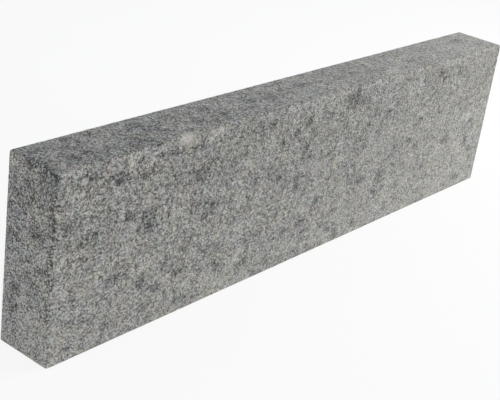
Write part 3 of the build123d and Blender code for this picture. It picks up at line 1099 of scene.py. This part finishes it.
def roughen(stone, shape):
    """Cuts the breaks and the relief into the stone, and stores what its granite reads at each vertex."""
    mesh = stone.data
    places = np.empty(len(mesh.vertices) * 3, np.float32)
    mesh.vertices.foreach_get("co", places)
    places = places.reshape(-1, 3).astype(float)
    inward = inward_directions(places)
    breaks = break_depths(places, inward)
    hammered = hammering(places, inward)
    depth = relief(places, sampled_lumps(stone, shape), hammered, shape)
    moved = places + inward * (depth + breaks)[:, None]
    moved[:, Z] = np.maximum(moved[:, Z], LOW.z)
    mesh.vertices.foreach_set("co", moved.astype(np.float32).ravel())

    full_break = 3 * MILLIMETRE
    break_paleness = 0.4
    warp_size = 12 * MILLIMETRE
    warp = noise_at(places, warp_size, offset=31.0, octaves=2)
    dark, pale, fresh = [
        mineral_cover(places, inward, warp, shares, shape.cluster_size)
        for shares in mineral_shares(shape.seed)
    ]
    values = {
        "coarse": side_values(inward, COARSE_SHARES),
        "hammered": hammered,
        # The dark clusters take in the painted shade along the near end's front arris.
        "dark_mica_and_shade": np.maximum(dark, arris_painted_shade(places, inward)),
        "pale_patch": pale + break_paleness * smooth_step(breaks, 0.0, full_break),
        # Painted light and shade: the sides' drift and the strips along the front's arrises, with some real
        # bruising there.
        "wear_and_painted_light": painted_light_drift(places, inward) + arris_wear_and_light(places, inward),
        "fresh": fresh,
    }
    for name, value in values.items():
        made = mesh.attributes.new(name, "FLOAT", "POINT")
        made.data.foreach_set("value", value.astype(np.float32))
    mesh.update()


class KERB_OT_rough_stone(bpy.types.Operator):
    """Builds the rough granite stone on the construction solid"""

    bl_idname = "kerb.rough_stone"
    bl_label = "Rough stone"

    def execute(self, context):
        shape = context.scene.kerb_stone_shape
        block = eased_block(shape)
        lay_out_faces(block)
        mesh = bpy.data.meshes.new("rough_kerb_stone")
        block.to_mesh(mesh)
        block.free()
        mesh.shade_smooth()
        stone = bpy.data.objects.new("rough_kerb_stone", mesh)
        context.scene.collection.objects.link(stone)
        roughen(stone, shape)
        mesh.materials.append(granite(shape, context.scene.kerb_stone_finish))
        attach(stone, "root")
        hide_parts(STONE_NODE)
        return {"FINISHED"}


def white_to_rays(tree, shader, white_share):
    """Mixes a share of plain white into a shader, for the rays that show a background."""
    path = add_node(tree, "ShaderNodeLightPath").outputs
    seen = Field(path["Is Camera Ray"])
    for other in ("Is Glossy Ray", "Is Transmission Ray"):
        seen = seen.greatest(path[other])
    white = add_node(tree, "ShaderNodeEmission", inputs={"Strength": 1.0})
    inputs = {0: seen * white_share, 1: shader.outputs[0], 2: white.outputs[0]}
    return add_node(tree, "ShaderNodeMixShader", inputs=inputs).outputs[0]


def pale_floor(size):
    """The floor: it lights the stone as a pale surface and looks nearly white, with a soft shadow."""
    paint_colour = (0.88, 0.88, 0.88, 1.0)
    white_share = 0.86
    grid = bmesh.new()
    bmesh.ops.create_grid(grid, x_segments=1, y_segments=1, size=size)
    mesh = bpy.data.meshes.new("floor")
    grid.to_mesh(mesh)
    grid.free()
    material = bpy.data.materials.new("pale_floor")
    material.use_nodes = True
    tree = material.node_tree
    tree.nodes.clear()
    paint = add_node(tree, "ShaderNodeBsdfDiffuse", inputs={"Color": paint_colour})
    add_node(tree, "ShaderNodeOutputMaterial", inputs={"Surface": white_to_rays(tree, paint, white_share)})
    mesh.materials.append(material)
    floor = bpy.data.objects.new("floor", mesh)
    bpy.context.scene.collection.objects.link(floor)


def soft_sky(strength):
    """Soft light from all around, bluish overhead and warmer low down, white where it is seen."""
    low_colour = (1.035, 1.0, 0.955, 1.0)
    high_colour = (0.908, 0.986, 1.103, 1.0)
    white_share = 1.0
    world = bpy.data.worlds.new("soft_sky")
    bpy.context.scene.world = world
    world.use_nodes = True
    tree = world.node_tree
    tree.nodes.clear()
    direction = VectorField(add_node(tree, "ShaderNodeTexCoord").outputs["Generated"])
    colour = mix_colours(tree, "MIX", rise(direction.part(Z), 0.0, 1.0), low_colour, high_colour)
    sky = add_node(tree, "ShaderNodeBackground", inputs={"Color": colour, "Strength": strength})
    add_node(tree, "ShaderNodeOutputWorld", inputs={"Surface": white_to_rays(tree, sky, white_share)})


def area_light(name, power, place, aim, width, colour):
    """A square soft light that faces a point and isn't seen itself."""
    lamp = bpy.data.lights.new(name, "AREA")
    lamp.shape = "SQUARE"
    lamp.size = width
    lamp.energy = power
    lamp.color = colour
    light = bpy.data.objects.new(name, lamp)
    light.location = place
    light.rotation_euler = (Vector(aim) - Vector(place)).to_track_quat("-Z", "Y").to_euler()
    light.visible_camera = False
    bpy.context.scene.collection.objects.link(light)


def main_camera(stage):
    """The camera, which aims at a point from an azimuth and an elevation."""
    camera_data = bpy.data.cameras.new("camera")
    camera_data.lens = stage.lens
    camera_data.sensor_width = SENSOR_WIDTH
    camera = bpy.data.objects.new("camera", camera_data)
    back = Vector(
        (
            sin(stage.azimuth) * cos(stage.elevation),
            -cos(stage.azimuth) * cos(stage.elevation),
            sin(stage.elevation),
        )
    )
    place = Vector(stage.aim) + back * stage.distance
    turn = (-back).to_track_quat("-Z", "Y").to_matrix().to_4x4()
    roll = Matrix.Rotation(stage.roll, 4, "Z")
    camera.matrix_world = Matrix.Translation(place) @ turn @ roll
    bpy.context.scene.collection.objects.link(camera)
    bpy.context.scene.camera = camera


class KERB_OT_stage(bpy.types.Operator):
    """Sets up the floor, the light and the camera"""

    bl_idname = "kerb.stage"
    bl_label = "Stage"

    def execute(self, context):
        stage = context.scene.kerb_stone_stage
        context.scene.view_settings.view_transform = "Standard"
        pale_floor(stage.floor_size)
        soft_sky(stage.sky_strength)
        area_light("key", stage.key_power, **KEY_LIGHT)
        area_light("fill", stage.fill_power, **FILL_LIGHT)
        main_camera(stage)
        return {"FINISHED"}


class VIEW3D_PT_kerb_stone(bpy.types.Panel):
    """Lists the operators and their settings"""

    bl_idname = "VIEW3D_PT_kerb_stone"
    bl_label = "Kerb stone"
    bl_space_type = "VIEW_3D"
    bl_region_type = "UI"
    bl_category = "Kerb stone"

    def draw(self, context):
        scene = context.scene
        self.layout.operator("kerb.stage")
        self.layout.operator("kerb.rough_stone")
        for settings in (scene.kerb_stone_shape, scene.kerb_stone_finish, scene.kerb_stone_stage):
            box = self.layout.box()
            for name in type(settings).__annotations__:
                box.prop(settings, name)


CLASSES = (
    KerbStoneShape,
    KerbStoneFinish,
    KerbStoneStage,
    KERB_OT_rough_stone,
    KERB_OT_stage,
    VIEW3D_PT_kerb_stone,
)


def register():
    """Adds the classes and the scene's settings."""
    for each in CLASSES:
        bpy.utils.register_class(each)
    bpy.types.Scene.kerb_stone_shape = PointerProperty(type=KerbStoneShape)
    bpy.types.Scene.kerb_stone_finish = PointerProperty(type=KerbStoneFinish)
    bpy.types.Scene.kerb_stone_stage = PointerProperty(type=KerbStoneStage)


def unregister():
    """Takes the settings and the classes away again."""
    del bpy.types.Scene.kerb_stone_stage
    del bpy.types.Scene.kerb_stone_finish
    del bpy.types.Scene.kerb_stone_shape
    for each in reversed(CLASSES):
        bpy.utils.unregister_class(each)


def main():
    """Builds the stage and the stone."""
    register()
    bpy.ops.kerb.stage()
    bpy.ops.kerb.rough_stone()


if __name__ == "__main__":
    main()
